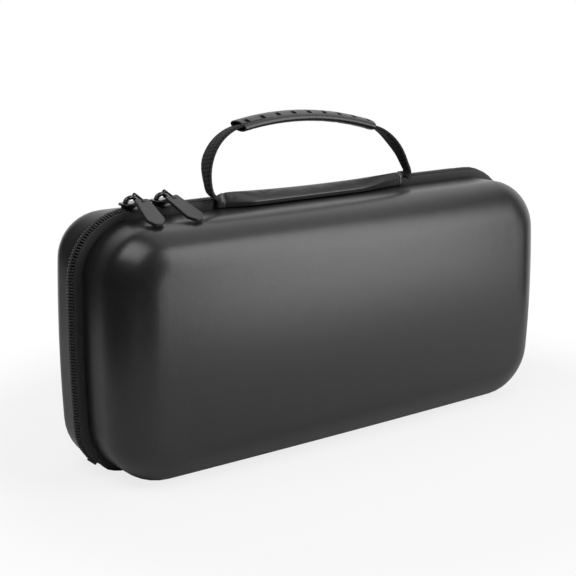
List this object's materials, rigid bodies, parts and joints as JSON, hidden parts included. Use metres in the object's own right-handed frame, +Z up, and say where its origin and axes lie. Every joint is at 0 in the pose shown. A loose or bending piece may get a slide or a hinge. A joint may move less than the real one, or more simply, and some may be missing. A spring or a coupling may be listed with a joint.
{
  "type": "portable game console case",
  "caption": "Hard black zip-up carry case for a hand-held game console, with a deep moulded half, a shallow half on a cloth hinge, twin zip sliders and a webbing handle with a grip.",
  "frame": {"origin": "on the ground under the middle of the standing case", "axes": "+X along the case towards the viewer's right, -Y out of the deep half's face, +Z up towards the handle"},
  "size_m": [0.3052, 0.073, 0.1806],
  "materials": {
    "shell_skin": "smooth matte coated cloth over foam",
    "zip_tape": "woven",
    "zip_coil": "nylon",
    "slider_enamel": "gloss",
    "pull_tab": "matte",
    "webbing": "ribbed weave",
    "grip": "satin",
    "sleeve_skin": "satin",
    "tray_foam": "brushed lining over foam",
    "pocket_net": "open net",
    "pocket_elastic": "elastic tape"
  },
  "bodies": {
    "front_half": {"front_shell": "shell_skin", "front_zip_tape": "zip_tape", "front_zip_coil": "zip_coil", "front_zip_stops": "zip_coil", "front_binding": "zip_tape", "hinge_strip": "zip_tape", "handle_webbing": "webbing", "handle_grip": "grip", "handle_sleeve": "sleeve_skin", "console_cradle": "tray_foam"},
    "rear_half": {"rear_shell": "shell_skin", "rear_zip_tape": "zip_tape", "rear_zip_coil": "zip_coil", "rear_zip_stops": "zip_coil", "rear_binding": "zip_tape", "mesh_pocket": "pocket_net", "pocket_hem": "pocket_elastic"},
    "left_slider_body": {"left_slider": "slider_enamel"},
    "right_slider_body": {"right_slider": "slider_enamel"},
    "left_pull": {"left_pull_link": "slider_enamel", "left_pull_tab": "pull_tab"},
    "right_pull": {"right_pull_link": "slider_enamel", "right_pull_tab": "pull_tab"}
  },
  "joints": [
    {"name": "lid_hinge", "type": "hinge", "parent": "front_half", "child": "rear_half", "pos_m": [0, 0.0105, 0.0007], "axis": [-1, 0, 0], "range_deg": [0, 150], "deforming": ["hinge_strip"]},
    {"name": "left_slider_run", "type": "hinge", "parent": "front_half", "child": "left_slider_body", "pos_m": [-0.11694, 0.0105, 0.104], "axis": [0, -1, 0], "range_deg": [0, 80]},
    {"name": "right_slider_run", "type": "slide", "parent": "front_half", "child": "right_slider_body", "axis": [1, 0, 0], "range_m": [-0.003, 0.015]},
    {"name": "left_pull_swing", "type": "hinge", "parent": "left_slider_body", "child": "left_pull", "pos_m": [-0.1145, 0.0105, 0.1435], "axis": [-1, 0, 0], "range_deg": [0, 180]},
    {"name": "right_pull_swing", "type": "hinge", "parent": "right_slider_body", "child": "right_pull", "pos_m": [-0.0965, 0.0105, 0.1435], "axis": [-1, 0, 0], "range_deg": [0, 180]}
  ]
}
